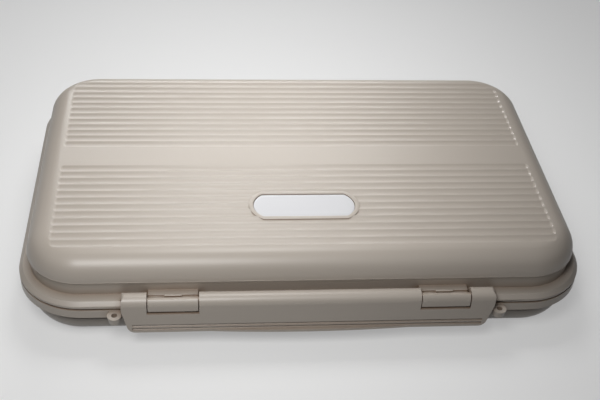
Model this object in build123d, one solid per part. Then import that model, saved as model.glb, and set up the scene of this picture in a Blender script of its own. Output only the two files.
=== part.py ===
from build123d import *
from math import cos, radians, sin, sqrt
import os

# Clamshell fly box in moulded plastic, 198 mm long. Sizes are in millimetres.
# Origin: centre of the flat underside. +X runs along the length, +Y to the hinge, +Z up.

# Outline of the two rims, seen from above, and of the side walls that they stand out from
rim_length = 198.2
rim_width = 127.6
rim_corner = 22.6
ledge_width = 3.9          # rim beyond the side wall, front and back
end_ledge_width = 3.0      # rim beyond the side wall at the two ends
wall_corner = 19.0

# Heights
base_depth = 16.4
lid_depth = 16.6
parting_gap = 0.4          # daylight between the closed rims
base_rim_height = 4.0
lid_rim_height = 2.6
rim_edge_bevel = 0.4

# Walls, the rounded shoulder between side wall and panel, and the bevel inside it
wall = 2.0
cavity_bevel = 5.0
shoulder_radius = 8.4
lid_shoulder_step = 0.25   # fine step where the lid's shoulder starts

# Fluted panel on both outer faces
flute_pitch = 3.8
flutes_per_side = 12
band_half_width = 5.7      # plain band down the middle
land_width = 0.35          # flat left between two flutes
flute_depth = 0.3
flute_trim = 0.03          # how far the cutting tools stand above the panel
flute_end_land = 0.3       # flat left between a flute's end and the shoulder

# Oval badge, left blank, let into the lid
badge_length = 36.0
badge_straight = 29.6
badge_width = 12.2
badge_forward = 29.7
badge_thickness = 0.6
badge_recess = 0.3
badge_gap = 0.15
badge_surround = 1.7

# Latch bar, and the hooks on the lid that it swings in
latch_axis_out = 0.2       # pivot line beyond the rim's edge
latch_axis_up = 1.0        # pivot line above the lid rim
latch_radius = 3.0
latch_wall = 1.1
latch_drop = 11.5          # pivot line down to the bar's lower edge
latch_top_length = 126.2
latch_foot_length = 121.6
latch_top_corner = 1.5
latch_foot_corner = 2.8
latch_taper_drop = 2.0     # pivot line down to where the ends start to taper
latch_gap = 0.25
latch_roll_end = 165.0     # degrees that the rolled edge turns, counted from the front
window_near = 37.4
window_far = 54.7
window_drop = 3.2          # pivot line down to the window's sill
web_thickness = 1.5
rod_radius = 1.25
rod_clearance = 0.07
hook_end_gap = 0.3
hook_lip_angle = 56.0
hook_chin_radius = 3.55    # lower half of a hook, which nearly fills its window
hook_stop_depth = 1.8
hook_stop_height = 1.7
tongue_length = 5.8
tongue_depth = 0.85
tongue_height = 1.1
ridge_length = 68.0
ridge_clearance = 0.3
ridge_below_rim = 0.45
ridge_tip_height = 0.3
ridge_slope_height = 1.4
grip_groove_length = 119.4
grip_groove_drops = (8.5, 10.0)
grip_groove_radius = 0.55
grip_groove_depth = 0.4
thumb_lip_length = 68.0
thumb_lip_reach = 1.1
thumb_lip_height = 0.9

# Lanyard eyes at the two ends of the latch
eye_spread = 65.5
eye_out = 1.94
eye_radius = 2.4
eye_hole_radius = 1.0
eye_height = 2.8
eye_below_rim = 0.5
eye_root_width = 3.6

# Hinge along the back
hinge_length = 132.0
knuckle_count = 5
knuckle_gap = 0.4
knuckle_radius = 2.6
hinge_axis_out = 3.0
hinge_axis_up = 0.2        # above the underside of the lid rim
hinge_pin_radius = 0.9
hinge_pin_inset = 0.5
pin_fit_clearance = 0.02
pin_running_clearance = 0.06

# Seal cord in a groove of the base rim
seal_width = 1.6
seal_height = 1.7
seal_groove_depth = 1.5
seal_groove_clearance = 0.1
seal_inner_land = 1.4

# Liners, and the rows of slit foam that hold the hooks
liner_thickness = 1.2
liner_edge_gap = 0.6
foam_rows = 7
foam_row_pitch = 13.5
foam_row_width = 7.0
foam_row_height = 5.5
foam_row_length = 158.0
foam_channel_depth = 0.4
foam_channel_clearance = 0.1
foam_top_bevel = 1.2

# Levels and lines that the parts share
lid_rim_bottom = base_depth + parting_gap
wall_length = rim_length - 2 * end_ledge_width
wall_width = rim_width - 2 * ledge_width
cavity_line = wall + cavity_bevel                 # edge of the cavity's flat floor, in from the wall's face
seal_line = wall - seal_inner_land - seal_width / 2
latch_axis_y = -(rim_width / 2 + latch_axis_out)
latch_axis_z = lid_rim_bottom + lid_rim_height + latch_axis_up
hinge_axis_y = rim_width / 2 + hinge_axis_out
hinge_axis_z = lid_rim_bottom + hinge_axis_up
eye_axis_y = -(rim_width / 2 + eye_out)
flute_width = flute_pitch - land_width
flute_radius = (flute_width ** 2 / 4 + flute_depth ** 2) / (2 * flute_depth)
overrun = 1.0                                     # how far tools and roots run past a face

# A half is drawn with its parting face at level 0 and its panel upwards, then placed
base_place = Pos(0, 0, base_depth) * Rot(180, 0, 0)
lid_place = Pos(0, 0, lid_rim_bottom)


# ---------------------------------------------------------------- plates and walls

def rim_slab(height):
    """The rim's plate, from level 0 up."""
    return extrude(RectangleRounded(rim_length, rim_width, rim_corner), amount=height)


def wall_slab(inset, low, high):
    """A plate of the side wall's outline, drawn in all round, between two levels."""
    outline = RectangleRounded(wall_length - 2 * inset, wall_width - 2 * inset, wall_corner - inset)
    return Pos(0, 0, low) * extrude(outline, amount=high - low)


def bevelled(plate, bevel):
    """A plate with its upper edge bevelled."""
    return chamfer(plate.edges().group_by(Axis.Z)[-1], bevel)


def rolled(plate, radius):
    """A plate with its upper edge rolled over."""
    return fillet(plate.edges().group_by(Axis.Z)[-1], radius)


def block(length, y_span, z_span):
    """A box centred along X, between two places along Y and two levels."""
    low_corner = Pos(0, y_span[0], z_span[0])
    size = (length, y_span[1] - y_span[0], z_span[1] - z_span[0])
    return low_corner * Box(*size, align=(Align.CENTER, Align.MIN, Align.MIN))


def rod(radius, length):
    """A round bar along X, centred on the origin."""
    return Rot(0, -90, 0) * Cylinder(radius, length)


def along_x(profile, length):
    """A section drawn in Y and Z, carried to both sides of the middle."""
    return extrude(Plane.YZ * profile, amount=length / 2, both=True)


# ---------------------------------------------------------------- fluted half shells

def flute_half_length(outer_edge):
    """Half the length of a flute whose outer edge runs this far from the centre line."""
    inset = shoulder_radius + flute_end_land
    corner = wall_corner - inset
    into_corner = max(0.0, outer_edge - (wall_width / 2 - wall_corner))
    return wall_length / 2 - wall_corner + sqrt(corner ** 2 - into_corner ** 2)


def flute_cutter(offset, level):
    """A round bar that cuts one flute, kept only as a slice at the panel."""
    cutter = rod(flute_radius, 2 * flute_half_length(abs(offset) + flute_width / 2))
    cutter = Pos(0, offset, level + flute_radius - flute_depth) * cutter
    return cutter & wall_slab(0, level - flute_depth - overrun, level + flute_trim)


def flute_cutters(level):
    """The cutters for one panel, a set on each side of the plain band."""
    offsets = [band_half_width + (count + 0.5) * flute_pitch for count in range(flutes_per_side)]
    return [flute_cutter(side * offset, level) for side in (-1, 1) for offset in offsets]


def half_shell(depth, rim_height, step, cutters):
    """One hollow half: a flat rim, a short side wall and a rolled shoulder to the panel."""
    shell = bevelled(rim_slab(rim_height), rim_edge_bevel)
    shell += wall_slab(0, 0, depth - shoulder_radius)
    shell += rolled(wall_slab(step, 0, depth), shoulder_radius - step)
    shell -= bevelled(wall_slab(wall, 0, depth - wall), cavity_bevel)
    return shell - cutters


# ---------------------------------------------------------------- hinge

def hinge_place():
    """The hinge's own frame, on the pin's line."""
    return Pos(0, hinge_axis_y, hinge_axis_z)


def hinge_knuckles(first, web_span):
    """Every second knuckle from the first, each barrel on a web out of the rim."""
    length = (hinge_length - (knuckle_count - 1) * knuckle_gap) / knuckle_count
    barrel = rod(knuckle_radius, length)
    barrel += block(length, (-hinge_axis_out - overrun, 0), web_span)
    start = (length - hinge_length) / 2
    places = [Pos(start + i * (length + knuckle_gap), 0, 0) for i in range(first, knuckle_count, 2)]
    return [hinge_place() * place * barrel for place in places]


def hinge_bore(clearance):
    """The hole for the pin, through all the knuckles."""
    return hinge_place() * rod(hinge_pin_radius + clearance, hinge_length + 2 * overrun)


def make_hinge_pin():
    """The plain steel pin, a little shorter than the row of knuckles."""
    return hinge_place() * rod(hinge_pin_radius, hinge_length - 2 * hinge_pin_inset)


# ---------------------------------------------------------------- base

def seal_ring(width, low, high):
    """A ring on the seal's line, between two levels."""
    outer = wall_slab(seal_line - width / 2, low, high)
    return outer - wall_slab(seal_line + width / 2, low, high)


def lanyard_eye(side):
    """A round boss on a short root out of the base rim, not yet drilled."""
    eye = Cylinder(eye_radius, eye_height)
    eye += block(eye_root_width, (0, eye_out + overrun), (-eye_height / 2, eye_height / 2))
    return eye_place(side) * eye


def eye_place(side):
    """The middle of a lanyard eye."""
    return Pos(side * eye_spread, eye_axis_y, base_depth - eye_below_rim - eye_height / 2)


def make_base_shell():
    """Lower half: fluted underside, seal groove, hinge knuckles and lanyard eyes."""
    shell = base_place * half_shell(base_depth, base_rim_height, 0, flute_cutters(base_depth))
    shell += hinge_knuckles(0, (-knuckle_radius, base_depth - hinge_axis_z))
    shell -= hinge_bore(pin_fit_clearance)
    groove_width = seal_width + 2 * seal_groove_clearance
    shell -= seal_ring(groove_width, base_depth - seal_groove_depth, base_depth + overrun)
    for side in (-1, 1):
        shell += lanyard_eye(side)
        shell -= eye_place(side) * Cylinder(eye_hole_radius, eye_height + 2 * overrun)
    return shell


def make_rim_seal():
    """The soft cord in the groove, standing just proud of the rim."""
    floor = base_depth - seal_groove_depth
    return seal_ring(seal_width, floor, floor + seal_height)


# ---------------------------------------------------------------- latch bar

def latch_place(side=0):
    """The latch's own frame on its pivot line, or at one window's middle on it."""
    return Pos(side * (window_near + window_far) / 2, latch_axis_y, latch_axis_z)


def turned(angle, distance):
    """A point in the latch's section, at an angle up from the front."""
    return (-distance * cos(radians(angle)), distance * sin(radians(angle)))


def latch_section():
    """The bar's section: a rolled top edge that runs down into a flat front."""
    far = 2 * latch_radius
    roll = Circle(latch_radius) - Circle(latch_radius - latch_wall)
    roll -= Polygon((0, 0), turned(latch_roll_end, far), (far, -far), (-far, -far), (-far, 0), align=None)
    front = Rectangle(latch_wall, latch_drop, align=(Align.MIN, Align.MAX))
    return roll + Pos(-latch_radius, 0) * front


def latch_face(inset):
    """The bar's outline from the front, its ends drawn in, as a block to cut with."""
    top = latch_top_length / 2 - inset
    foot = latch_foot_length / 2 - inset
    corners = [(top, latch_radius), (top, -latch_taper_drop), (foot, -latch_drop)]
    face = Polygon(*corners, *[(-x, z) for x, z in reversed(corners)], align=None)
    face = fillet(face.vertices().group_by(Axis.Y)[-1], latch_top_corner)
    face = fillet(face.vertices().group_by(Axis.Y)[0], latch_foot_corner)
    return extrude(Plane.XZ * face, amount=2 * latch_radius, both=True)


def latch_cheeks():
    """The walls that close the bar's two ends."""
    back = latch_axis_out - ridge_clearance
    cheek = Circle(latch_radius)
    cheek += Pos(-latch_radius, 0) * Rectangle(back + latch_radius, latch_drop, align=(Align.MIN, Align.MAX))
    return along_x(cheek, latch_top_length) & (latch_face(0) - latch_face(latch_wall))


def window_parts(side):
    """What one window of the bar holds: the opening, and the rod between two webs."""
    length = window_far - window_near
    opening = block(length, (-2 * latch_radius, 2 * latch_radius), (-window_drop, 2 * latch_radius))
    webs = along_x(Circle(latch_radius), length + 2 * web_thickness) - along_x(Circle(latch_radius), length)
    bar_rod = rod(rod_radius, length + web_thickness)
    middle = Pos(side * (window_near + window_far) / 2, 0, 0)
    return middle * opening, middle * (webs + bar_rod)


def snap_ridge():
    """The ridge inside the bar that snaps under the base rim, undercut at the top."""
    inner = latch_wall - latch_radius
    tip = latch_axis_out - ridge_clearance
    top = base_depth - base_rim_height - ridge_below_rim - latch_axis_z
    root = top - ridge_tip_height - ridge_slope_height
    section = Polygon((inner, top), (tip, top), (tip, top - ridge_tip_height), (inner, root), align=None)
    return along_x(section, ridge_length)


def grip_groove(drop):
    """A cutter for one finger groove near the bar's lower edge."""
    cutter = rod(grip_groove_radius, grip_groove_length)
    return Pos(0, -latch_radius - grip_groove_radius + grip_groove_depth, -drop) * cutter


def thumb_lip():
    """The shallow bow at the middle of the lower edge, for a thumbnail."""
    half = thumb_lip_length / 2
    bow = ThreePointArc((-half, 0), (0, -thumb_lip_reach), (half, 0))
    outline = make_face([bow, Line((half, 0), (-half, 0))])
    lip = extrude(outline, amount=thumb_lip_height)
    return Pos(0, -latch_radius, -latch_drop) * (lip + block(2 * half, (0, latch_wall), (0, thumb_lip_height)))


def make_latch_bar():
    """The long bar that clamps both rims, with its pivot rods in the two windows."""
    bar = along_x(latch_section(), latch_top_length) & latch_face(0)
    bar += latch_cheeks()
    for side in (-1, 1):
        opening, fittings = window_parts(side)
        bar -= opening
        bar += fittings
    bar += snap_ridge()
    bar += thumb_lip()
    bar -= [grip_groove(drop) for drop in grip_groove_drops]
    return latch_place() * bar


# ---------------------------------------------------------------- lid

def badge_outline(grow):
    """The badge's outline: straight long edges and bowed ends, grown by a distance."""
    half_length = badge_length / 2 + grow
    half_width = badge_width / 2 + grow
    half_straight = badge_straight / 2
    edges = []
    for side in (-1, 1):
        near = (side * half_straight, -side * half_width)
        far = (side * half_straight, side * half_width)
        edges.append(ThreePointArc(near, (side * half_length, 0), far))
        edges.append(Line(far, (-far[0], far[1])))
    return make_face(edges)


def badge_plate_at(grow, low, high):
    """A plate of the badge's outline between two depths below the lid's panel."""
    plate = extrude(badge_outline(grow), amount=high - low)
    return Pos(0, -badge_forward, lid_depth - high) * plate


def latch_trough():
    """The hollow in the lid rim that the bar's rolled edge turns in, clear of the hooks."""
    trough = along_x(Circle(latch_radius + latch_gap), latch_top_length + 2 * hook_end_gap)
    hook_length = window_far - window_near - 2 * hook_end_gap
    far = 2 * latch_radius
    keep = block(hook_length, (-far, far), (-far, far))
    for side in (-1, 1):
        trough -= Pos(side * (window_near + window_far) / 2, 0, 0) * keep
    return latch_place() * trough


def lid_hook(side):
    """A hook that holds one rod of the bar, with the stop and snap tongue behind it."""
    length = window_far - window_near - 2 * hook_end_gap
    far = 2 * latch_radius
    mouth = Polygon((0, 0), turned(hook_lip_angle, far), (far, far), (far, 0), align=None)
    chin = Pos(-latch_radius, 0) * Rectangle(far, far, align=(Align.MIN, Align.MAX))
    hook = along_x(Circle(latch_radius) + (Circle(hook_chin_radius) & chin) - mouth, length)
    wall_face = latch_axis_out + ledge_width
    stop_face = wall_face - hook_stop_depth
    rim_level = -latch_axis_up
    hook += block(length, (stop_face, wall_face + wall / 2), (rim_level - overrun, rim_level + hook_stop_height))
    hook += block(tongue_length, (stop_face - tongue_depth, stop_face), (rim_level, tongue_height))
    return latch_place(side) * hook


def rod_pocket(side):
    """The round seat of one rod, right through its hook."""
    return latch_place(side) * rod(rod_radius + rod_clearance, window_far - window_near)


def make_lid_shell():
    """Upper half: fluted panel with the badge pocket, knuckles and the latch's hooks."""
    island = badge_plate_at(badge_surround, -overrun, 2 * flute_depth)
    cutters = [cutter - island for cutter in flute_cutters(lid_depth)]
    shell = half_shell(lid_depth, lid_rim_height, lid_shoulder_step, cutters)
    shell -= badge_plate_at(badge_gap, -overrun, badge_recess + badge_thickness)
    shell = lid_place * shell
    shell += hinge_knuckles(1, (-hinge_axis_up, lid_rim_height - hinge_axis_up))
    shell -= hinge_bore(pin_running_clearance)
    shell -= latch_trough()
    for side in (-1, 1):
        shell += lid_hook(side)
        shell -= rod_pocket(side)
    return shell


def make_badge_plate():
    """The blank oval plate on the floor of its pocket."""
    return lid_place * badge_plate_at(0, badge_recess, badge_recess + badge_thickness)


# ---------------------------------------------------------------- liners and foam

def make_liner(depth):
    """A thin plate on the panel's inside, with a shallow channel for each foam row."""
    seat = depth - wall
    liner = wall_slab(cavity_line + liner_edge_gap, seat - liner_thickness, seat)
    width = foam_row_width + 2 * foam_channel_clearance
    length = foam_row_length + 2 * foam_channel_clearance
    open_face = seat - liner_thickness
    channel = block(length, (-width / 2, width / 2), (open_face - overrun, open_face + foam_channel_depth))
    return liner - [Pos(0, offset, 0) * channel for offset in row_offsets()]


def row_offsets():
    """Where the foam rows run, from the front one to the back one."""
    return [(i - (foam_rows - 1) / 2) * foam_row_pitch for i in range(foam_rows)]


def make_foam_row(depth, offset):
    """One bar of foam in its channel, its free edges bevelled."""
    seat = depth - wall - liner_thickness + foam_channel_depth
    half = foam_row_width / 2
    row = block(foam_row_length, (offset - half, offset + half), (seat - foam_row_height, seat))
    long_edges = row.edges().filter_by(Axis.X).group_by(Axis.Z)[0]
    return chamfer(long_edges, foam_top_bevel)


# ---------------------------------------------------------------- all the parts

parts = {
    "base_shell": make_base_shell(),
    "rim_seal": make_rim_seal(),
    "hinge_pin": make_hinge_pin(),
    "base_liner": base_place * make_liner(base_depth),
    "lid_shell": make_lid_shell(),
    "badge_plate": make_badge_plate(),
    "lid_liner": lid_place * make_liner(lid_depth),
    "latch_bar": make_latch_bar(),
}
for number, offset in enumerate(row_offsets(), 1):
    parts[f"base_foam_row_{number}"] = base_place * make_foam_row(base_depth, -offset)
    parts[f"lid_foam_row_{number}"] = lid_place * make_foam_row(lid_depth, offset)

os.makedirs("parts", exist_ok=True)
for name, solid in parts.items():
    export_step(solid, f"parts/{name}.step")
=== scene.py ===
import bmesh
import bpy
import numpy as np
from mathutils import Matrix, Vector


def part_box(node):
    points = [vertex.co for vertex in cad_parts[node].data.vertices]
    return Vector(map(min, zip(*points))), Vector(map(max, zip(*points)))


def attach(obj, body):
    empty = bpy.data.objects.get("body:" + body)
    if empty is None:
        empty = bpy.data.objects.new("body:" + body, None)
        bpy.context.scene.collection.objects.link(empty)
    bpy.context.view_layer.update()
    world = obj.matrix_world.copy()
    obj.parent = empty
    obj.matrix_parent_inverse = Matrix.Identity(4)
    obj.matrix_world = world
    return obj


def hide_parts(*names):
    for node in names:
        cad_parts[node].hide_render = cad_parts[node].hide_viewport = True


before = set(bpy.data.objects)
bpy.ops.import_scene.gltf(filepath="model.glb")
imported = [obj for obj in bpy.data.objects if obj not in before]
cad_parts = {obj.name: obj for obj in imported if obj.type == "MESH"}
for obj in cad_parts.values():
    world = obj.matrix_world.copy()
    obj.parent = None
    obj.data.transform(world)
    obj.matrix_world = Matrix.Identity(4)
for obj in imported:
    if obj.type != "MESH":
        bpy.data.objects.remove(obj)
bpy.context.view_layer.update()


# ---------------------------------------------------------------- lid skin
# The lid's outer skin is one moulding: a fluted flat panel whose edge rolls over, then a short side wall that
# draws in under the roll. A fine witness line marks where they meet, and each flute fades out at its two ends.

mm = 0.001
lid_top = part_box("lid_shell")[1][2] / mm
wall_half_length = 96.1
wall_half_width = 59.9
wall_corner = 19.0
witness_step = 0.25          # how far the roll stays inside the rim's inner outline
witness_bead = 0.1           # how far the wall's upper edge stands out under the roll
witness_drop = 8.4
witness_out = [0, 0.04, 0.08]                 # the line's bead, outwards and down from where the roll ends
witness_down = np.array([-0.1, -0.04, 0.04])
witness_foot = 0.12          # down from the line to where the wall starts
roll_radius = 8.15
flat_inset = witness_step + roll_radius
lid_ledge_depth = 14.0       # panel down to the rim's ledge
wall_neck = 0.8              # how far the side wall draws in above the ledge
neck_shares = np.array([0.0, 0.25, 0.6, 0.85, 1.0, 1.0])      # of wall_neck, on the way down the wall
neck_levels = np.array([0.0, 0.08, 0.3, 0.6, 0.9, 1.0])
ledge_out = 0.1              # the wall's foot comes back out past the rim's inner outline, just into the ledge
ledge_sunk = 0.02
grid_margin = 2.6            # how far the panel's grid runs out over the roll
straight_x = wall_half_length - wall_corner
straight_y = wall_half_width - wall_corner

flute_pitch = 3.8
flute_count = 12
flute_depth = 0.4
crest_radius = 0.6
flute_reach = 87.5
flute_end_length = 1.2
band_half_width = 5.7
half_pitch = flute_pitch / 2
flute_slope = 2 * np.arctan(flute_depth / half_pitch)
flute_radius = half_pitch / np.sin(flute_slope) - crest_radius

# The grid's lines, from the middle of the panel outwards
band_lines = [0.0, 2.5, 5.2]
flute_lines = np.array([0, 0.07, 0.13, 0.19, 0.5, 0.9, 1.4])  # across a flute, up to its middle
last_line = 51.3
corner_start = 52.6                                           # degrees round the corner
corner_lines = 15
straight_lines = [0.0, 7.0, 13.5] + list(np.linspace(14.0, 20.5, 14)) + [30.0, 45.0, 60.0, straight_x]
end_share = 0.4                                               # of the corner's width, before the flutes' ends
sparse_lines = 6                                              # on that share, and on the rest of the width
dense_lines = 45
roll_steps = 12

badge_half_length = 18.0
badge_half_width = 6.1
badge_half_straight = 14.8
badge_forward = 29.7
badge_pad = 1.7
pad_overlap = 0.1            # how far the pad reaches over the panel's cut edge


def beyond_flat(x, y):
    """Distance outside the flat panel's outline, a rectangle with round corners; zero inside it."""
    past_x = np.maximum(np.abs(x) - straight_x, 0)
    past_y = np.maximum(np.abs(y) - straight_y, 0)
    return np.maximum(np.hypot(past_x, past_y) - (wall_corner - flat_inset), 0)


def flute_drop(across):
    """Depth of a flute at a distance from its centre line: a hollow arc that meets the crest's round.

    Both circles have the same slope where they meet, so crest and flute run into each other smoothly.
    """
    hollow = flute_depth - flute_radius + np.sqrt(flute_radius ** 2 - np.minimum(across, half_pitch) ** 2)
    from_crest = np.clip(half_pitch - across, 0, crest_radius)
    crest = crest_radius - np.sqrt(crest_radius ** 2 - from_crest ** 2)
    return np.where(across < flute_radius * np.sin(flute_slope), hollow, crest)


def panel_drop(x, y):
    """Depth below the top: the roll's quarter circle, or a flute where that lies deeper.

    Past the start of a flute's end the distance from its centre line also counts the way along, so the end is
    a bow.
    """
    rolled = roll_radius - np.sqrt(roll_radius ** 2 - beyond_flat(x, y) ** 2)
    place = (np.abs(y) - band_half_width) / flute_pitch
    number = np.floor(place)
    across = np.abs(place - number - 0.5) * flute_pitch
    past_end = np.maximum(np.abs(x) - flute_reach + flute_end_length, 0) * half_pitch / flute_end_length
    fluted = flute_drop(np.hypot(across, past_end))
    return np.maximum(rolled, np.where((number >= 0) & (number < flute_count), fluted, 0))


def badge_distance(x, y, grow):
    """Below one inside the badge's outline grown by a distance: a bow's circle cut off by two long edges."""
    height = badge_half_width + grow
    bulge = badge_half_length + grow - badge_half_straight
    bow_radius = (bulge ** 2 + height ** 2) / (2 * bulge)
    bow_centre = badge_half_length + grow - bow_radius
    in_bow = np.hypot(np.maximum(np.abs(x) - bow_centre, 0), y) / bow_radius
    return np.maximum(in_bow, np.abs(y) / height)


def panel_grid(badge_place):
    """Points of the panel in rows along the flutes, and which squares between them stay.

    Rows lie on each flute's arc, denser at its edges, on the band, and by equal angles round the corners.
    Columns have fixed places over the straight run and share out the rest of each row evenly.
    """
    turn = wall_corner - flat_inset + grid_margin
    steps = np.concatenate([flute_lines, [half_pitch], flute_pitch - flute_lines[:0:-1]])
    flute_rows = (band_half_width + np.arange(flute_count)[:, None] * flute_pitch + steps).ravel()
    corner_rows = straight_y + turn * np.sin(np.radians(np.linspace(corner_start, 90, corner_lines)))
    half_rows = np.concatenate([band_lines, flute_rows, [last_line], corner_rows])
    rows = np.concatenate([-half_rows[:0:-1], half_rows])
    past = np.maximum(np.abs(rows) - straight_y, 0)
    reach = straight_x + np.sqrt(np.maximum(turn ** 2 - past ** 2, 0))
    share = np.concatenate([np.linspace(0, end_share, sparse_lines + 1)[1:],
                            np.linspace(end_share, 1, dense_lines + 1)[1:]])
    half_columns = np.concatenate([np.repeat([straight_lines], len(rows), 0),
                                   straight_x + (reach[:, None] - straight_x) * share], 1)
    x = np.concatenate([-half_columns[:, :0:-1], half_columns], 1)
    y = np.repeat(rows[:, None], x.shape[1], 1)
    if badge_place is None:
        return x, y, np.ones((len(rows) - 1, x.shape[1] - 1), bool)
    inside = badge_distance(x, y - badge_place, badge_pad - pad_overlap) < 1
    covered = inside[:-1, :-1] & inside[1:, :-1] & inside[:-1, 1:] & inside[1:, 1:]
    return x, y, ~covered


def grid_faces(rows, columns, first=0, closed=False):
    """Corner numbers of a grid's squares, row by row; a closed grid joins its last column to its first."""
    numbers = first + np.arange(rows * columns).reshape(rows, columns)
    if closed:
        numbers = np.concatenate([numbers, numbers[:, :1]], 1)
    return np.stack([numbers[:-1, :-1], numbers[:-1, 1:], numbers[1:, 1:], numbers[1:, :-1]], -1)


def moulding(name, points, faces, crease=35.0):
    """A mesh object from points in millimetres, welded at its seams and shaded smooth up to the crease angle.

    A four-sided face with two corners at one point becomes a triangle.
    """
    spots, places = np.unique(np.round(points, 4), axis=0, return_inverse=True)
    faces = places.ravel()[np.asarray(faces)]
    same = faces == np.roll(faces, -1, axis=1)
    pinched = faces[same.sum(1) == 1]
    if faces.shape[1] == 4 and len(pinched):
        start = same[same.sum(1) == 1].argmax(1)[:, None]
        pinched = np.take_along_axis(pinched, (start + [1, 2, 3]) % 4, 1).tolist()
    else:
        pinched = []
    mesh = bpy.data.meshes.new(name)
    mesh.from_pydata((spots * mm).tolist(), [], faces[same.sum(1) == 0].tolist() + pinched)
    mesh.shade_smooth()
    mesh.set_sharp_from_angle(angle=np.radians(crease))
    piece = bpy.data.objects.new(name, mesh)
    bpy.context.collection.objects.link(piece)
    return piece


def skin(name, badge_place, ledge_depth, place):
    """A half's outer skin: the panel's grid, then its edge carried down the roll, the line and the wall.

    The edge's points move outwards along the corner's radius as the profile goes down to the ledge and just
    into it.
    """
    x, y, kept = panel_grid(badge_place)
    rows, columns = x.shape
    panel = np.stack([x, y, -panel_drop(x, y)], -1)
    faces = grid_faces(rows, columns)[kept]
    numbers = np.arange(rows * columns).reshape(rows, columns)
    edge = np.concatenate([numbers[0, :-1], numbers[:-1, -1], numbers[-1, :0:-1], numbers[:0:-1, 0]])
    start = panel.reshape(-1, 3)[edge]
    out_x = np.sign(start[:, 0]) * np.maximum(np.abs(start[:, 0]) - straight_x, 0)
    out_y = np.sign(start[:, 1]) * np.maximum(np.abs(start[:, 1]) - straight_y, 0)
    outward = np.stack([out_x, out_y], 1) / np.hypot(out_x, out_y)[:, None]
    angle = np.linspace(np.arcsin(grid_margin / roll_radius), np.pi / 2, roll_steps + 1)[1:]
    roll_out = roll_radius * np.sin(angle) - grid_margin
    roll_down = roll_radius - roll_radius * np.cos(angle)
    wall_height = ledge_depth - witness_drop
    neck_out = witness_bead - wall_neck * neck_shares
    neck_down = witness_drop + witness_foot + (wall_height - witness_foot) * neck_levels
    wall_out = np.concatenate([witness_out, neck_out, [witness_step + ledge_out]])
    wall_down = np.concatenate([witness_drop + witness_down, neck_down, [ledge_depth + ledge_sunk]])
    out = np.concatenate([[0], roll_out, roll_out[-1] + wall_out])
    down = np.concatenate([[0], roll_down, wall_down])
    ring = np.empty((len(out), len(edge), 3))
    ring[..., :2] = start[None, :, :2] + outward[None] * out[:, None, None]
    ring[..., 2] = -down[:, None]
    ring[0] = start
    first = rows * columns
    ring_faces = grid_faces(len(out), len(edge), first, closed=True)[..., ::-1].reshape(-1, 4)
    points = np.concatenate([panel.reshape(-1, 3), ring.reshape(-1, 3)])
    return moulding(name, place(points), np.concatenate([faces, ring_faces]))


def on_lid(points):
    """Points measured from the panel's own level, set at the lid's top."""
    return points + [0, 0, lid_top]


lid_skin = skin("lid_skin", -badge_forward, lid_ledge_depth, on_lid)
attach(lid_skin, "lid")


# ---------------------------------------------------------------- base skin
# The base's outer skin is the same moulding turned over, with flutes under it as well and no badge.
# Its plain band and the lands between the flutes are what the box stands on.

def on_base(points):
    """Points of the panel turned over about the box's length, so that the panel faces the floor."""
    return points * [1, -1, -1]


base_ledge_depth = 12.4
base_skin = skin("base_skin", None, base_ledge_depth, on_base)
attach(base_skin, "base")


# ---------------------------------------------------------------- rims, hooks, knuckles and the inside
# Everything else of the two halves: rims with rounded edges, hooks, knuckles, eyes and the cavity walls.
# Each is the frame's own solid, welded, without the outer faces that the skins stand for. Its edges are
# rounded further, and the lid's hooks get a root that reaches the drawn-in wall.

wall = 2.0
cavity_bevel = 5.0
rim_half_length = 99.1
rim_half_width = 63.8
rim_corner = 22.6
rim_bevel = 0.4
eye_spread = 65.5
eye_forward = 65.74
eye_radius = 2.4
eye_foot_top = 14.0
eye_foot_taper = 0.22        # of the radius
face_margin = 0.05           # how near a face's middle counts as lying on a surface
wall_margin = 0.06
corner_margin = 0.03         # how near a corner of the mesh counts as lying on a line, across and in height
level_margin = 0.01
eye_margin = 0.02


def welded(node):
    """A node's points in millimetres, each kept once, and its triangles as corner numbers."""
    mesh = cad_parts[node].data
    points = np.empty(len(mesh.vertices) * 3)
    mesh.vertices.foreach_get("co", points)
    corners = np.empty(len(mesh.loops), int)
    mesh.loops.foreach_get("vertex_index", corners)
    spots, places = np.unique(np.round(points.reshape(-1, 3) / mm, 3), axis=0, return_inverse=True)
    triangles = places.ravel()[corners].reshape(-1, 3)
    first, second, third = triangles.T
    return spots, triangles[(first != second) & (second != third) & (third != first)]


def round_distance(points, half_length, half_width):
    """Distance outside a rectangle; inside it, the distance to its nearest side with a minus."""
    past_x = np.abs(points[:, 0]) - half_length
    past_y = np.abs(points[:, 1]) - half_width
    return np.hypot(np.maximum(past_x, 0), np.maximum(past_y, 0)) + np.minimum(np.maximum(past_x, past_y), 0)


def wall_distance(points):
    """Distance in from the side wall's outline, a rectangle with round corners; negative on the rim."""
    return wall_corner - round_distance(points, straight_x, straight_y)


def rim_distance(points):
    """Distance in from the rim's outline, a rectangle with round corners."""
    return rim_corner - round_distance(points, rim_half_length - rim_corner, rim_half_width - rim_corner)


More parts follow.
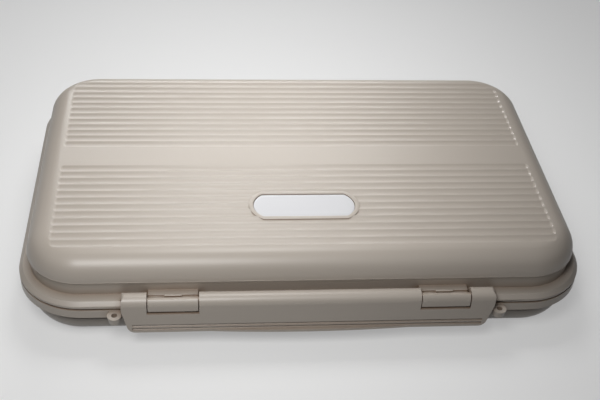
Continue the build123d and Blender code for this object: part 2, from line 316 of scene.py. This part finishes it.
def soften_rim(points, parting_level, direction, rim_height, softness, lift):
    """Widen the bevel of a rim's outer edge, and lift its parting edge a little to leave a shadow gap.

    The hinge's straight run along the back stays as it is.
    """
    inset = rim_distance(points)
    height = (points[:, 2] - parting_level) * direction
    straight = np.array([rim_half_length - rim_corner, rim_half_width - rim_corner])
    free = (points[:, 1] < rim_half_width - 1) | (np.abs(points[:, 0]) > straight[0])
    on_outline = free & (np.abs(inset) < corner_margin)
    upper = free & (np.abs(inset - rim_bevel) < corner_margin) & (np.abs(height - rim_height) < level_margin)
    lower = on_outline & (np.abs(height - rim_height + rim_bevel) < level_margin)
    parting = on_outline & (np.abs(height) < level_margin)
    past = np.clip(np.abs(points[:, :2]) - straight, 0, None)
    outward = np.sign(points[:, :2]) * past / np.maximum(np.hypot(*past.T), 0.001)[:, None]
    points[upper, :2] -= (outward * (softness - rim_bevel))[upper]
    points[lower, 2] -= direction * (softness - rim_bevel)
    points[parting, 2] += direction * lift
    return points


def round_edges(piece, width, sharpest):
    """Merge a mesh's flat faces, then round its edges by a small radius; its flat faces stay flatly shaded."""
    flat = bmesh.new()
    flat.from_mesh(piece.data)
    bmesh.ops.dissolve_limit(flat, angle_limit=np.radians(0.5), verts=flat.verts, edges=flat.edges)
    flat.to_mesh(piece.data)
    flat.free()
    rounding = piece.modifiers.new("edge_rounding", "BEVEL")
    rounding.width = width * mm
    rounding.segments = 2
    rounding.limit_method = "ANGLE"
    rounding.angle_limit = np.radians(sharpest)
    rounding.miter_outer = "MITER_ARC"
    even = piece.modifiers.new("even_shading", "WEIGHTED_NORMAL")
    even.keep_sharp = True


def half_frame(name, node, body, parting_level, direction, depth, ledge_height, softness, lift):
    """A half without its outer skin: faces above the ledge go unless they lie on the bevelled cavity.

    Heights count from the parting level, up for the lid and down for the base. The eyes' feet are drawn in.
    """
    points, triangles = welded(node)
    centres = points[triangles].mean(1)
    height = (centres[:, 2] - parting_level) * direction
    inset = wall_distance(centres)
    cavity = (inset > wall - face_margin) & (height < depth - wall + face_margin)
    cavity &= (inset - wall) + (depth - wall - height) > cavity_bevel - 2 * face_margin
    outer = (height > ledge_height + face_margin) & (inset > -wall_margin) & ~cavity
    from_eye = np.stack([np.abs(points[:, 0]) - eye_spread, points[:, 1] + eye_forward], 1)
    foot = (np.abs(np.hypot(*from_eye.T) - eye_radius) < eye_margin) & (points[:, 2] < eye_foot_top)
    points[foot, 0] -= (np.sign(points[:, 0]) * from_eye[:, 0] * eye_foot_taper)[foot]
    points[foot, 1] -= (from_eye[:, 1] * eye_foot_taper)[foot]
    points = soften_rim(points, parting_level, direction, ledge_height, softness, lift)
    piece = moulding(name, points, triangles[~outer], 60)
    round_edges(piece, 0.15, 30)
    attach(piece, body)
    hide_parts(node)
    return piece


lid_frame = half_frame("lid_rim", "lid_shell", "lid", parting_level=16.8, direction=1, depth=16.6,
                       ledge_height=2.6, softness=1.3, lift=0.35)
base_frame = half_frame("base_rim", "base_shell", "base", parting_level=16.4, direction=-1, depth=16.4,
                        ledge_height=4.0, softness=0.7, lift=0.1)

# The hooks' roots: two small blocks behind each hook's stop, which meet the drawn-in wall
hook_middle = 46.05
hook_half_length = 8.35
root_half_depth = 0.55
root_inset = 0.5
root_bottom = 19.4
root_top = 21.1
root_sides = np.array([[-1, -1, 0], [1, -1, 0], [1, 1, 0], [-1, 1, 0]]) * [hook_half_length, root_half_depth, 1]
root_points = np.concatenate([root_sides + [side * hook_middle, root_inset - wall_half_width, level]
                              for side in (-1, 1) for level in (root_bottom, root_top)])
box_faces = np.array([[3, 2, 1, 0], [4, 5, 6, 7], [0, 1, 5, 4], [1, 2, 6, 5], [2, 3, 7, 6], [3, 0, 4, 7]])
hook_roots = moulding("hook_roots", root_points, np.concatenate([box_faces, box_faces + 8]))
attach(hook_roots, "lid")


# ---------------------------------------------------------------- latch bar
# One long moulded bar, rolled over at its top edge, that swings on two rods held in the lid's hooks.
# It is the same plastic as the halves, with two finger grooves, cut a little deeper here, and a bowed
# lower edge.

latch_front = -67.0
groove_reach = 0.45          # behind the front, more than the grooves' depth
groove_bottom = 9.89
groove_top = 12.5
groove_deepening = 1.6
points, triangles = welded("latch_bar")
in_groove = (points[:, 2] > groove_bottom) & (points[:, 2] < groove_top)
in_groove &= (points[:, 1] > latch_front) & (points[:, 1] < latch_front + groove_reach)
points[in_groove, 1] = latch_front + groove_deepening * (points[in_groove, 1] - latch_front)
latch = moulding("latch", points, triangles, 60)
round_edges(latch, 0.2, 30)
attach(latch, "latch")
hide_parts("latch_bar")


# ---------------------------------------------------------------- moulded plastic
# Halves and latch are the same warm grey tan plastic, moulded with a fine satin spark texture.
# In narrow gaps an occlusion mask multiplies the colour towards brown: painted shade for light bounced wall to
# wall.

def node_input(group, name, kind, value):
    """An input of a node group, with what it holds when nothing is joined to it."""
    socket = group.interface.new_socket(name=name, in_out="INPUT", socket_type=kind)
    socket.default_value = value


grain_and_shade = bpy.data.node_groups.new("moulded_grain_and_painted_shade", "ShaderNodeTree")
node_input(grain_and_shade, "Grain Scale", "NodeSocketFloat", 1800.0)
node_input(grain_and_shade, "Cloud Scale", "NodeSocketFloat", 14.0)
grain_and_shade.interface.new_socket(name="Grain", in_out="OUTPUT", socket_type="NodeSocketFloat")
grain_and_shade.interface.new_socket(name="Cloud", in_out="OUTPUT", socket_type="NodeSocketFloat")
grain_and_shade.interface.new_socket(name="Open", in_out="OUTPUT", socket_type="NodeSocketFloat")
inlet = grain_and_shade.nodes.new("NodeGroupInput")
outlet = grain_and_shade.nodes.new("NodeGroupOutput")
place = grain_and_shade.nodes.new("ShaderNodeTexCoord")
fine = grain_and_shade.nodes.new("ShaderNodeTexNoise")
fine.inputs["Detail"].default_value = 2.0
broad = grain_and_shade.nodes.new("ShaderNodeTexNoise")
broad.inputs["Detail"].default_value = 4.0
grain_and_shade.links.new(place.outputs["Object"], fine.inputs["Vector"])
grain_and_shade.links.new(place.outputs["Object"], broad.inputs["Vector"])
grain_and_shade.links.new(inlet.outputs["Grain Scale"], fine.inputs["Scale"])
grain_and_shade.links.new(inlet.outputs["Cloud Scale"], broad.inputs["Scale"])
grain_and_shade.links.new(fine.outputs["Fac"], outlet.inputs["Grain"])
grain_and_shade.links.new(broad.outputs["Fac"], outlet.inputs["Cloud"])
# An ambient occlusion mask for painted shade: one in the open, lower in narrow gaps.
shade_occlusion = grain_and_shade.nodes.new("ShaderNodeAmbientOcclusion")
shade_occlusion.inputs["Distance"].default_value = 0.003
shade_occlusion.samples = 8
grain_and_shade.links.new(shade_occlusion.outputs["AO"], outlet.inputs["Open"])


def moulded(name, dark, light, smoothest, roughest, bump, painted_gap_shade=(1, 1, 1)):
    """A plastic whose colour drifts between two tones, with the grain, and takes a third as painted shade in
    gaps.
    """
    material = bpy.data.materials.new(name)
    material.use_nodes = True
    nodes, links = material.node_tree.nodes, material.node_tree.links
    surface = nodes["Principled BSDF"]
    grain_and_shade_node = nodes.new("ShaderNodeGroup")
    grain_and_shade_node.node_tree = grain_and_shade
    tone = nodes.new("ShaderNodeMix")
    tone.data_type = "RGBA"
    tone.inputs["A"].default_value = (*dark, 1)
    tone.inputs["B"].default_value = (*light, 1)
    gloss = nodes.new("ShaderNodeMapRange")
    gloss.inputs["From Min"].default_value = 0.3
    gloss.inputs["From Max"].default_value = 0.7
    gloss.inputs["To Min"].default_value = smoothest
    gloss.inputs["To Max"].default_value = roughest
    relief = nodes.new("ShaderNodeBump")
    relief.inputs["Strength"].default_value = bump
    relief.inputs["Distance"].default_value = 0.00005
    links.new(grain_and_shade_node.outputs["Cloud"], tone.inputs["Factor"])
    # Painted shade: the tone is multiplied towards the gap colour where the occlusion mask is low.
    painted_shade = nodes.new("ShaderNodeMix")
    painted_shade.data_type = "RGBA"
    painted_shade.inputs["A"].default_value = (*painted_gap_shade, 1)
    painted_shade.inputs["B"].default_value = (1, 1, 1, 1)
    links.new(grain_and_shade_node.outputs["Open"], painted_shade.inputs["Factor"])
    tone_with_painted_shade = nodes.new("ShaderNodeMix")
    tone_with_painted_shade.data_type = "RGBA"
    tone_with_painted_shade.blend_type = "MULTIPLY"
    tone_with_painted_shade.inputs["Factor"].default_value = 1
    links.new(tone.outputs["Result"], tone_with_painted_shade.inputs["A"])
    links.new(painted_shade.outputs["Result"], tone_with_painted_shade.inputs["B"])
    links.new(tone_with_painted_shade.outputs["Result"], surface.inputs["Base Color"])
    links.new(grain_and_shade_node.outputs["Cloud"], gloss.inputs["Value"])
    links.new(gloss.outputs["Result"], surface.inputs["Roughness"])
    links.new(grain_and_shade_node.outputs["Grain"], relief.inputs["Height"])
    links.new(relief.outputs["Normal"], surface.inputs["Normal"])
    return material


# The third colour is the painted brown shade in the tan plastic's gaps.
tan_plastic = moulded("tan_moulded_plastic", (0.475, 0.423, 0.367), (0.51, 0.455, 0.397), 0.34, 0.40, 0.3,
                      (0.42, 0.285, 0.19))
for piece in (lid_skin, base_skin, lid_frame, base_frame, hook_roots, latch):
    piece.data.materials.append(tan_plastic)


# ---------------------------------------------------------------- badge
# A blank oval plate of smooth, very light grey plastic, dropped into a pocket in the panel.
# The pocket has a plain pad round it that stops the flutes, and the plate lies 0.3 mm below the pad.

badge_recess = 0.3
badge_thickness = 0.6
badge_gap = 0.15


def badge_outline(grow):
    """Points round the badge's outline grown by a distance: two straight edges, and a bow at each end."""
    height = badge_half_width + grow
    bulge = badge_half_length + grow - badge_half_straight
    bow_radius = (bulge ** 2 + height ** 2) / (2 * bulge)
    swing = np.arcsin(height / bow_radius)
    angle = np.linspace(-swing, swing, 33)
    bow_x = badge_half_length + grow - bow_radius + bow_radius * np.cos(angle)
    bow_y = bow_radius * np.sin(angle)
    straight = np.linspace(badge_half_straight, -badge_half_straight, 9)[1:-1]
    edge = np.full(len(straight), height)
    x = np.concatenate([bow_x, straight, -bow_x, -straight])
    y = np.concatenate([bow_y, edge, -bow_y, -edge])
    return x, y


def badge_surface(name, profile):
    """A ring carried round the badge's outline: each profile point is a growth and a height below the pad."""
    rings = []
    for grow, height in profile:
        x, y = badge_outline(grow)
        rings.append(np.stack([x, y - badge_forward, np.full(len(x), height)], 1))
    points = np.concatenate(rings)
    faces = grid_faces(len(profile), len(rings[0]), closed=True)[..., ::-1].reshape(-1, 4)
    return moulding(name, on_lid(points), faces, 40)


floor_depth = badge_recess + badge_thickness
pad_profile = [(badge_pad, -flute_depth - 0.1), (badge_pad - 0.02, -0.03), (badge_pad - 0.08, 0.0),
               (badge_gap + 0.12, 0.0), (badge_gap + 0.03, -0.03), (badge_gap, -0.1),
               (badge_gap, -floor_depth), (-badge_half_width, -floor_depth)]
badge_seat = badge_surface("badge_seat", pad_profile[::-1])
badge_seat.data.materials.append(tan_plastic)
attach(badge_seat, "lid")

plate_profile = [(0, -floor_depth + 0.01), (0, -badge_recess - 0.12), (-0.05, -badge_recess - 0.03),
                 (-0.16, -badge_recess), (-1.5, -badge_recess), (-badge_half_width, -badge_recess)]
badge = badge_surface("badge_blank", plate_profile[::-1])
badge_plastic = moulded("badge_smooth_plastic", (0.63, 0.63, 0.645), (0.67, 0.67, 0.685), 0.36, 0.44, 0.05)
badge.data.materials.append(badge_plastic)
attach(badge, "lid")
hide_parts("badge_plate")


# ---------------------------------------------------------------- seal
# A soft black rubber cord pressed into the groove of the base's rim, with its top rounded.
# It stands 0.2 mm above the rim, and the closed lid covers it.

seal_width = 1.6
seal_height = 1.7
seal_floor = 14.9
seal_inner_land = 1.4
seal_inset = wall - seal_inner_land - seal_width / 2
corner_steps = 25


def round_wall(profile):
    """A closed sweep round the side wall's outline: each profile point is an inset and a level."""
    turn = np.radians(np.linspace(0, 90, corner_steps))
    angle = np.concatenate([turn, turn + np.pi / 2, turn + np.pi, turn + 1.5 * np.pi])
    side_x = np.repeat([1, -1, -1, 1], corner_steps) * straight_x
    side_y = np.repeat([1, 1, -1, -1], corner_steps) * straight_y
    inset, level = np.array(profile).T
    radius = wall_corner - inset[:, None]
    x = side_x + radius * np.cos(angle)
    y = side_y + radius * np.sin(angle)
    points = np.stack([x, y, np.repeat(level[:, None], len(angle), 1)], -1).reshape(-1, 3)
    return points, grid_faces(len(inset), len(angle), closed=True).reshape(-1, 4)


half_seal = seal_width / 2
crown = np.radians(np.linspace(0, 180, 13))
crown_inset = seal_inset - half_seal * np.cos(crown)
crown_level = seal_floor + seal_height - half_seal + half_seal * np.sin(crown)
seal_profile = [(seal_inset + half_seal, seal_floor), (seal_inset - half_seal, seal_floor)]
seal_profile += list(zip(crown_inset, crown_level))
points, faces = round_wall(seal_profile + seal_profile[:1])
seal = moulding("seal_cord", points, faces[:, ::-1], 60)
seal_rubber = moulded("black_seal_rubber", (0.018, 0.018, 0.018), (0.03, 0.03, 0.03), 0.55, 0.7, 0.6)
seal.data.materials.append(seal_rubber)
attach(seal, "base")
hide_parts("rim_seal")


# ---------------------------------------------------------------- hinge pin
# A straight drawn steel wire through all five knuckles, with its cut ends slightly rounded.
# It is held in the base's knuckles, and the lid's knuckles turn on it.

pin_radius = 0.9
pin_half_length = 65.5
pin_y = 66.8
pin_z = 17.0
pin_end_radius = 0.7
pin_end_length = 0.2
pin_sides = 32
half_pin = [(pin_half_length - pin_end_length, pin_radius), (pin_half_length, pin_end_radius),
            (pin_half_length, 0.0)]
pin_profile = [(-along, radius) for along, radius in half_pin[::-1]] + half_pin
along, radius = np.array(pin_profile).T
turn = np.linspace(0, 2 * np.pi, pin_sides + 1)[:-1]
points = np.stack([np.repeat(along[:, None], pin_sides, 1), pin_y + radius[:, None] * np.cos(turn),
                   pin_z + radius[:, None] * np.sin(turn)], -1).reshape(-1, 3)
pin_faces = grid_faces(len(along), pin_sides, closed=True).reshape(-1, 4)
hinge_wire = moulding("hinge_wire", points, pin_faces[:, ::-1], 40)
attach(hinge_wire, "base")
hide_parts("hinge_pin")
steel = bpy.data.materials.new("drawn_steel_wire")
steel.use_nodes = True
surface = steel.node_tree.nodes["Principled BSDF"]
surface.inputs["Metallic"].default_value = 1.0
surface.inputs["Base Color"].default_value = (0.56, 0.56, 0.57, 1)
streaks = steel.node_tree.nodes.new("ShaderNodeTexNoise")
streaks.inputs["Scale"].default_value = 900
spread = steel.node_tree.nodes.new("ShaderNodeMapRange")
spread.inputs["To Min"].default_value = 0.22
spread.inputs["To Max"].default_value = 0.4
spot = steel.node_tree.nodes.new("ShaderNodeTexCoord")
steel.node_tree.links.new(spot.outputs["Object"], streaks.inputs["Vector"])
steel.node_tree.links.new(streaks.outputs["Fac"], spread.inputs["Value"])
steel.node_tree.links.new(spread.outputs["Result"], surface.inputs["Roughness"])
hinge_wire.data.materials.append(steel)


# ---------------------------------------------------------------- foam rows
# Seven bars of closed-cell foam in each half, cut across the top about every 8 mm, so that a hook is pushed in
# and held. Each is glued in a shallow channel of its liner.

foam_rows = 7
foam_row_pitch = 13.5
foam_length = 158.0
foam_width = 7.0
foam_height = 5.5
foam_seat = 2.8
slit_pitch = 7.9
slit_depth = 3.0
slit_half_width = 0.35
slit_lip = 0.5               # half the width of the rounding at a slit's mouth
slit_tip = 0.08
lip_cut = 0.12               # of the slit's depth, at its mouth
foam_round = 1.3
foam_side_lines = np.array([0, 1.2, 2.4, 3.3])


def foam_bar():
    """A bar along X: a rounded section whose top is cut down in a narrow V at each slit."""
    half = foam_width / 2
    bend = np.radians(np.linspace(0, 90, 6))
    right_y = half - foam_round + foam_round * np.cos(bend)
    right_z = foam_height - foam_round + foam_round * np.sin(bend)
    side_y = np.full(len(foam_side_lines), half)
    section_y = np.concatenate([side_y, right_y, -right_y[::-1], -side_y])
    section_z = np.concatenate([foam_side_lines, right_z, right_z[::-1], foam_side_lines[::-1]])
    count = int(foam_length / slit_pitch) - 1
    slits = (np.arange(count) - (count - 1) / 2) * slit_pitch
    near = np.array([-slit_lip, -slit_half_width, -slit_tip, slit_tip, slit_half_width, slit_lip])
    cut = np.array([0, lip_cut, 1.0, 1.0, lip_cut, 0])
    along = np.concatenate([[-foam_length / 2], (slits[:, None] + near).ravel(), [foam_length / 2]])
    deep = np.concatenate([[0], np.tile(cut, count), [0]])
    limit = foam_height - deep[:, None] * slit_depth
    z = np.minimum(section_z[None], limit)
    y = np.repeat(section_y[None], len(along), 0)
    x = np.repeat(along[:, None], len(section_y), 1)
    return np.stack([x, y, z], -1)


def closed_bar(grid):
    """The faces of a bar's side all round, and one face on each end."""
    stations, around = grid.shape[:2]
    side = grid_faces(stations, around, closed=True).reshape(-1, 4).tolist()
    numbers = np.arange(stations * around).reshape(stations, around)
    return side + [numbers[0].tolist()[::-1], numbers[-1].tolist()]


def foam_mesh(name, points, faces):
    """The foam's mesh, with its slits and ends kept as sharp edges."""
    mesh = bpy.data.meshes.new(name)
    mesh.from_pydata((points.reshape(-1, 3) * mm).tolist(), [], faces)
    mesh.shade_smooth()
    mesh.set_sharp_from_angle(angle=np.radians(35))
    piece = bpy.data.objects.new(name, mesh)
    bpy.context.collection.objects.link(piece)
    return piece


foam = moulded("slit_foam", (0.62, 0.60, 0.55), (0.70, 0.68, 0.63), 0.85, 0.95, 1.0)
bar = foam_bar()
bar_faces = closed_bar(bar)
for number in range(1, foam_rows + 1):
    row_y = (number - (foam_rows + 1) / 2) * foam_row_pitch
    for half, body in (("base", "base"), ("lid", "lid")):
        upright = bar + [0, row_y, foam_seat]
        placed = upright if half == "base" else (bar * [1, -1, -1]) + [0, row_y, lid_top - foam_seat]
        row = foam_mesh(f"{half}_slit_foam_{number}", placed, [f[::-1] for f in bar_faces])
        row.data.materials.append(foam)
        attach(row, body)
        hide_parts(f"{half}_foam_row_{number}")


# ---------------------------------------------------------------- liners
# A thin off-white sheet glued to the floor of each half, with a shallow channel for each foam row.
# Each is the frame's own solid, and only its finish is added here.

liner_sheet = moulded("liner_sheet", (0.60, 0.59, 0.55), (0.66, 0.65, 0.61), 0.5, 0.6, 0.3)
for node in ("base_liner", "lid_liner"):
    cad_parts[node].material_slots[0].material = liner_sheet


# ---------------------------------------------------------------- floor, lamps and camera
# A plain pale floor that throws little light back and stays pale away from the lamps, and lamps near the box:
# soft boxes above, in front and behind at the left, and a strip close behind whose sheen brings out the flutes.

floor_half_size = 4
floor_unseen = (0.16, 0.16, 0.16, 1)
floor_seen = (0.5, 0.5, 0.495, 1)
floor_glow = 0.36

floor_mesh = bpy.data.meshes.new("floor")
floor_corners = [(x * floor_half_size, y * floor_half_size, 0) for x, y in ((-1, -1), (1, -1), (1, 1), (-1, 1))]
floor_mesh.from_pydata(floor_corners, [], [(0, 1, 2, 3)])
floor = bpy.data.objects.new("floor", floor_mesh)
bpy.context.collection.objects.link(floor)
floor_paint = bpy.data.materials.new("pale_floor")
floor_paint.use_nodes = True
paint, links = floor_paint.node_tree.nodes, floor_paint.node_tree.links
paint["Principled BSDF"].inputs["Roughness"].default_value = 0.8
ray = paint.new("ShaderNodeLightPath")
seen = paint.new("ShaderNodeMath")
seen.operation = "ADD"
seen_through = paint.new("ShaderNodeMath")
seen_through.operation = "ADD"
seen_through.use_clamp = True
shade = paint.new("ShaderNodeMix")
shade.data_type = "RGBA"
shade.inputs["A"].default_value = floor_unseen
shade.inputs["B"].default_value = floor_seen
links.new(ray.outputs["Is Camera Ray"], seen.inputs[0])
links.new(ray.outputs["Is Glossy Ray"], seen.inputs[1])
links.new(seen.outputs[0], seen_through.inputs[0])
links.new(ray.outputs["Is Transmission Ray"], seen_through.inputs[1])
links.new(seen_through.outputs[0], shade.inputs["Factor"])
links.new(shade.outputs["Result"], paint["Principled BSDF"].inputs["Base Color"])
glow = paint.new("ShaderNodeMath")
glow.operation = "MULTIPLY"
glow.inputs[1].default_value = floor_glow
links.new(seen_through.outputs[0], glow.inputs[0])
paint["Principled BSDF"].inputs["Emission Color"].default_value = (1, 1, 1, 1)
links.new(glow.outputs[0], paint["Principled BSDF"].inputs["Emission Strength"])
floor_mesh.materials.append(floor_paint)


def soft_box(name, place, tilt, width, depth, spread, watts):
    """A rectangular area lamp of a given size and angle of spread, turned from straight down."""
    lamp = bpy.data.lights.new(name, "AREA")
    lamp.shape = "RECTANGLE"
    lamp.size = width
    lamp.size_y = depth
    lamp.spread = np.radians(spread)
    lamp.energy = watts
    holder = bpy.data.objects.new(name, lamp)
    holder.location = place
    holder.rotation_euler = np.radians(tilt)
    bpy.context.collection.objects.link(holder)


soft_box("overhead_soft_box", (-0.012, 0.05, 0.25), (-6, -1, 0), 0.1, 0.1, 90, 0.08)
soft_box("front_soft_box", (-0.08, -0.22, 0.28), (36, 0, -12), 0.12, 0.12, 80, 0.125)
soft_box("back_strip", (-0.03, 0.34, 0.2), (-62, 0, 0), 0.3, 0.05, 100, 0.19)
soft_box("side_soft_box", (-0.45, 0.3, 0.22), (-68, 0, 56), 0.3, 0.3, 120, 0.03)
world = bpy.data.worlds.new("studio")
world.use_nodes = True
world.node_tree.nodes["Background"].inputs["Color"].default_value = (0.95, 0.96, 1.0, 1)
world.node_tree.nodes["Background"].inputs["Strength"].default_value = 0.06
bpy.context.scene.world = world
bpy.context.scene.view_settings.view_transform = "Standard"

camera_lens = bpy.data.cameras.new("camera")
camera_lens.sensor_width = 36
camera_lens.lens = 60.74
camera = bpy.data.objects.new("camera", camera_lens)
camera.location = (-0.03717, -0.30797, 0.25767)
camera.rotation_euler = np.radians((51.554, -3.197, -4.732))
bpy.context.collection.objects.link(camera)
bpy.context.scene.camera = camera
